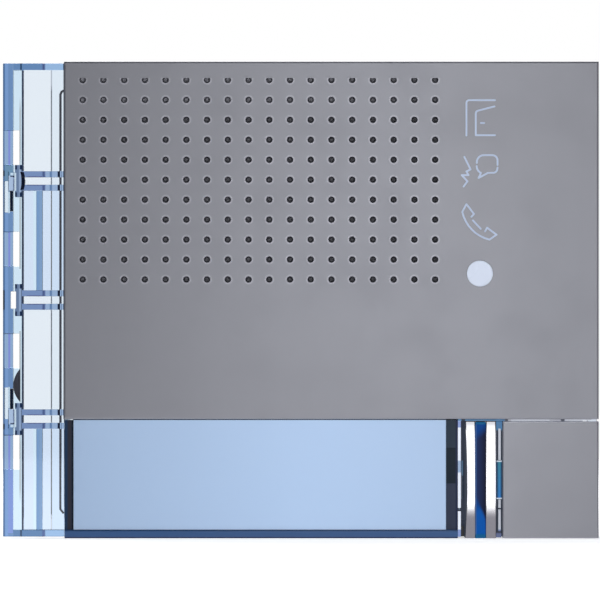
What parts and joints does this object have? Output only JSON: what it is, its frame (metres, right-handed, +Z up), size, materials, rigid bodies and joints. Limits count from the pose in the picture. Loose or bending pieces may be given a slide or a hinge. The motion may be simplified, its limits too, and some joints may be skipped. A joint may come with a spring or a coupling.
{
  "type": "door intercom module",
  "caption": "Wall station audio module with perforated metal face, backlit name window, rocking call key, ribbed clear frame strip and rear terminals.",
  "frame": {"origin": "centre of the seat plane, where the rear rim of the clear carrier meets the panel frame", "axes": "+X to the right seen from the front, +Z up, +Y from the front to the back, into the panel frame"},
  "size_m": [0.115, 0.0395, 0.092],
  "materials": {
    "satin_metal": "satin",
    "clear_blue": "clear polycarbonate, gloss",
    "window_clear": "clear polycarbonate, gloss",
    "dark_trim": "satin",
    "opal_white": "opal, satin",
    "label_film": "matt film",
    "light_blue": "clear deep blue, gloss",
    "pale_light": "opal, satin",
    "chrome_trim": "polished",
    "spring_steel": "blackened",
    "steel": "zinc plated",
    "rubber": "matt",
    "foam": "open cell, matt",
    "acoustic_cloth": "fine weave",
    "speaker_paper": "pressed paper",
    "speaker_metal": "zinc plated",
    "magnet": "sintered",
    "copper": "enamelled",
    "circuit_board": "solder mask",
    "chip_black": "moulded",
    "lamp_white": "moulded",
    "shell_black": "fine spark texture",
    "socket_green": "moulded",
    "socket_white": "moulded",
    "rotor_cream": "moulded"
  },
  "bodies": {
    "module": {"front_plate": "satin_metal", "front_carrier": "clear_blue", "hook_springs": "spring_steel", "edge_bumper": "rubber", "name_window": "window_clear", "window_trim_left": "dark_trim", "window_trim_right": "dark_trim", "bottom_rail": "clear_blue", "name_label": "label_film", "label_diffuser": "opal_white", "key_hinge_pin": "steel", "key_leaf_spring": "spring_steel", "key_switch_body": "chip_black", "key_led": "lamp_white", "door_icon_guide": "pale_light", "talk_icon_guide": "pale_light", "handset_icon_guide": "pale_light", "sensor_lens": "pale_light", "speaker_mesh": "acoustic_cloth", "speaker_gasket": "foam", "speaker_basket": "speaker_metal", "speaker_surround": "rubber", "speaker_magnet": "magnet", "mic_boot": "rubber", "mic_capsule": "steel", "main_board": "circuit_board", "icon_leds": "lamp_white", "label_leds": "lamp_white", "light_sensor": "chip_black", "processor_chip": "chip_black", "audio_chip": "chip_black", "board_screws": "steel", "front_shell": "shell_black", "shell_gasket": "foam", "rear_shell": "shell_black", "shell_screws": "steel", "bus_board": "circuit_board", "board_header": "chip_black", "bus_capacitors": "steel", "bus_inductor": "magnet", "terminal_socket": "socket_green", "link_sockets": "socket_white", "configurator_socket": "socket_white", "service_socket": "steel", "trimmer_bodies": "chip_black", "program_switch": "chip_black"},
    "call_key": {"key_body": "clear_blue", "key_chrome": "chrome_trim", "key_light_guide": "light_blue", "key_cap": "satin_metal", "saddle_clip": "light_blue"},
    "key_plunger": {"key_switch_plunger": "rotor_cream"},
    "speaker_volume": {"speaker_volume_rotor": "rotor_cream"},
    "mic_volume": {"mic_volume_rotor": "rotor_cream"},
    "program_key": {"program_button": "dark_trim"},
    "bus_plug": {"terminal_plug": "socket_green", "terminal_screws": "steel"},
    "speaker_diaphragm": {"speaker_cone": "speaker_paper", "voice_coil": "copper"}
  },
  "joints": [
    {"name": "key_rock", "type": "hinge", "parent": "module", "child": "call_key", "pos_m": [0.056, -0.0049, -0.0347], "axis": [0, 0, -1], "range_deg": [0, 3], "stiffness_Nm_per_rad": 0.8, "springref_deg": -0.8, "deforming": ["key_leaf_spring"]},
    {"name": "plunger_travel", "type": "slide", "parent": "module", "child": "key_plunger", "axis": [0, 1, 0], "range_m": [0, 0.00066]},
    {"name": "speaker_volume_turn", "type": "hinge", "parent": "module", "child": "speaker_volume", "pos_m": [0.036, 0.02, 0.03], "axis": [0, 1, 0], "range_deg": [-135, 135]},
    {"name": "mic_volume_turn", "type": "hinge", "parent": "module", "child": "mic_volume", "pos_m": [0.047, 0.02, 0.03], "axis": [0, 1, 0], "range_deg": [-135, 135]},
    {"name": "program_press", "type": "slide", "parent": "module", "child": "program_key", "axis": [0, -1, 0], "range_m": [0, 0.0005], "stiffness_N_per_m": 1000, "springref_m": -0.0005},
    {"name": "plug_pull", "type": "slide", "parent": "module", "child": "bus_plug", "axis": [0, 1, 0], "range_m": [0, 0.0075]},
    {"name": "diaphragm_travel", "type": "slide", "parent": "module", "child": "speaker_diaphragm", "axis": [0, -1, 0], "range_m": [-0.0004, 0.0004], "stiffness_N_per_m": 600, "deforming": ["speaker_surround"]}
  ],
  "couplings": [
    {"joint": "plunger_travel", "follows": "key_rock", "m_per_rad": 0.0125}
  ]
}
